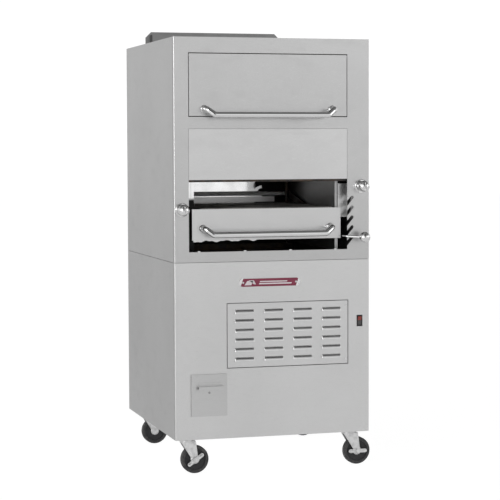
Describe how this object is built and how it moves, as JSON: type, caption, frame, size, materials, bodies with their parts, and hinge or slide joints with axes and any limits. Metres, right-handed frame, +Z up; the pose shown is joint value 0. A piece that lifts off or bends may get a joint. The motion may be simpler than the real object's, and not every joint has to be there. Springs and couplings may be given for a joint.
{
  "type": "upright infrared broiler with warming oven",
  "caption": "Upright stainless infrared broiler: lifting grid drawer in a notched front, lift-up warming oven door above, louvred cabinet base on swivel casters.",
  "frame": {"origin": "on the floor under the middle of the bounding box, casters trailing to the right", "axes": "+Z up, the front faces -Y, +X to the right as seen from the front"},
  "size_m": [0.9466, 1.093, 2.04],
  "materials": {
    "satin_stainless": "satin, fine vertical and horizontal grain",
    "galvanised_sheet": "dull zinc coated",
    "polished_stainless": "mirror polished",
    "chrome": "bright chrome plate",
    "zinc_plate": "bright zinc plate",
    "wheel_rubber": "moulded dark grey rubber",
    "dark_iron": "heat darkened steel",
    "ground_steel": "ground",
    "grid_iron": "ground cast iron bars",
    "black_plastic": "moulded",
    "rocker": "translucent red lens on black",
    "brass": "machined",
    "black_pipe": "black iron pipe",
    "motor_grey": "enamel",
    "ceramic": "porous ceramic plaque",
    "badge": "maroon enamel in a bright rim"
  },
  "bodies": {
    "cabinet": {"back_panel": "galvanised_sheet", "base_pan": "galvanised_sheet", "blower_housing": "galvanised_sheet", "blower_motor": "motor_grey", "burner_cover": "satin_stainless", "burner_housing": "galvanised_sheet", "burner_tiles": "ceramic", "caster_plates": "zinc_plate", "chamber_wall_left": "polished_stainless", "chamber_wall_rear": "polished_stainless", "chamber_wall_right": "polished_stainless", "drip_pan": "dark_iron", "flue_riser": "satin_stainless", "front_frame": "satin_stainless", "gas_manifold": "black_pipe", "gas_valves": "brass", "grease_chute": "galvanised_sheet", "guide_posts": "ground_steel", "knob_collars": "chrome", "louvre_panel": "satin_stainless", "lower_front": "satin_stainless", "lower_side_left": "satin_stainless", "lower_side_right": "satin_stainless", "mid_deck": "galvanised_sheet", "nameplate": "badge", "oven_liner": "satin_stainless", "oven_rack": "chrome", "panel_screws": "chrome", "power_inlet": "galvanised_sheet", "switch_bezel": "black_plastic", "top_panel": "satin_stainless", "upper_side_left": "satin_stainless", "upper_side_right": "satin_stainless"},
    "oven_door": {"oven_door_outer": "satin_stainless", "oven_door_inner": "satin_stainless", "oven_door_handle": "chrome"},
    "lift": {"lift_carriage": "dark_iron"},
    "grid_drawer": {"drawer_front": "satin_stainless", "drawer_handle": "chrome", "grid_grate": "grid_iron"},
    "lift_linkage": {"lift_shaft": "ground_steel", "lift_arms": "dark_iron"},
    "lever": {"lever_rod": "chrome", "lever_ball": "chrome"},
    "left_knob": {"knob_left": "chrome"},
    "right_knob": {"knob_right": "chrome"},
    "rocker": {"switch_rocker": "rocker"},
    "grease_tray": {"grease_drawer": "satin_stainless", "grease_pull": "satin_stainless"},
    "fan": {"blower_wheel": "ground_steel"},
    "caster_front_left": {"caster_fork_front_left": "zinc_plate"},
    "wheel_front_left": {"caster_wheel_front_left": "wheel_rubber"},
    "caster_front_right": {"caster_fork_front_right": "zinc_plate"},
    "wheel_front_right": {"caster_wheel_front_right": "wheel_rubber"},
    "caster_rear_left": {"caster_fork_rear_left": "zinc_plate"},
    "wheel_rear_left": {"caster_wheel_rear_left": "wheel_rubber"},
    "caster_rear_right": {"caster_fork_rear_right": "zinc_plate"},
    "wheel_rear_right": {"caster_wheel_rear_right": "wheel_rubber"},
    "pedal_front_left": {"brake_pedal_front_left": "zinc_plate"},
    "pedal_front_right": {"brake_pedal_front_right": "zinc_plate"}
  },
  "joints": [
    {"name": "oven_door_hinge", "type": "hinge", "parent": "cabinet", "child": "oven_door", "pos_m": [-0.03505, -0.4545, 1.876], "axis": [-1, 0, 0], "range_deg": [0, 100]},
    {"name": "grid_lift", "type": "slide", "parent": "cabinet", "child": "lift", "axis": [0, 0, 1], "range_m": [-0.0285, 0.0855]},
    {"name": "grid_drawer_slide", "type": "slide", "parent": "lift", "child": "grid_drawer", "axis": [0, -1, 0], "range_m": [0, 0.42]},
    {"name": "lift_linkage_turn", "type": "hinge", "parent": "cabinet", "child": "lift_linkage", "pos_m": [-0.03505, 0.2835, 1.24039], "axis": [-1, 0, 0], "range_deg": [-3.5, 10.47]},
    {"name": "lever_latch", "type": "hinge", "parent": "lift_linkage", "child": "lever", "pos_m": [0.31645, -0.2115, 1.065], "axis": [-0.766, 0, 0.6428], "range_deg": [0, 7]},
    {"name": "left_knob_turn", "type": "hinge", "parent": "cabinet", "child": "left_knob", "pos_m": [-0.43755, -0.4615, 1.193], "axis": [0, -1, 0], "range_deg": [0, 90]},
    {"name": "right_knob_turn", "type": "hinge", "parent": "cabinet", "child": "right_knob", "pos_m": [0.40345, -0.4615, 1.291], "axis": [0, -1, 0], "range_deg": [0, 90]},
    {"name": "switch_rock", "type": "hinge", "parent": "cabinet", "child": "rocker", "pos_m": [0.39545, -0.4555, 0.6765], "axis": [-1, 0, 0], "range_deg": [0, 12]},
    {"name": "grease_tray_slide", "type": "slide", "parent": "cabinet", "child": "grease_tray", "axis": [0, -1, 0], "range_m": [0, 0.36]},
    {"name": "fan_spin", "type": "hinge", "parent": "cabinet", "child": "fan", "pos_m": [0.04745, 0.0585, 0.495], "axis": [0, 1, 0], "continuous": true},
    {"name": "front_left_swivel", "type": "hinge", "parent": "cabinet", "child": "caster_front_left", "pos_m": [-0.40255, -0.3735, 0.0635], "axis": [0, 0, 1], "continuous": true},
    {"name": "front_left_roll", "type": "hinge", "parent": "caster_front_left", "child": "wheel_front_left", "pos_m": [-0.36455, -0.3735, 0.0635], "axis": [0, 1, 0], "continuous": true},
    {"name": "front_right_swivel", "type": "hinge", "parent": "cabinet", "child": "caster_front_right", "pos_m": [0.37185, -0.3735, 0.0635], "axis": [0, 0, 1], "continuous": true},
    {"name": "front_right_roll", "type": "hinge", "parent": "caster_front_right", "child": "wheel_front_right", "pos_m": [0.40985, -0.3735, 0.0635], "axis": [0, 1, 0], "continuous": true},
    {"name": "rear_left_swivel", "type": "hinge", "parent": "cabinet", "child": "caster_rear_left", "pos_m": [-0.40255, 0.4325, 0.0635], "axis": [0, 0, 1], "continuous": true},
    {"name": "rear_left_roll", "type": "hinge", "parent": "caster_rear_left", "child": "wheel_rear_left", "pos_m": [-0.36455, 0.4325, 0.0635], "axis": [0, 1, 0], "continuous": true},
    {"name": "rear_right_swivel", "type": "hinge", "parent": "cabinet", "child": "caster_rear_right", "pos_m": [0.37185, 0.4325, 0.0635], "axis": [0, 0, 1], "continuous": true},
    {"name": "rear_right_roll", "type": "hinge", "parent": "caster_rear_right", "child": "wheel_rear_right", "pos_m": [0.40985, 0.4325, 0.0635], "axis": [0, 1, 0], "continuous": true},
    {"name": "front_left_brake", "type": "hinge", "parent": "caster_front_left", "child": "pedal_front_left", "pos_m": [-0.36455, -0.3735, 0.0635], "axis": [0, -1, 0], "range_deg": [-35, 0]},
    {"name": "front_right_brake", "type": "hinge", "parent": "caster_front_right", "child": "pedal_front_right", "pos_m": [0.40985, -0.3735, 0.0635], "axis": [0, -1, 0], "range_deg": [0, 35]}
  ],
  "couplings": [
    {"joint": "lift_linkage_turn", "follows": "grid_lift", "rad_per_m": 2.1348}
  ]
}
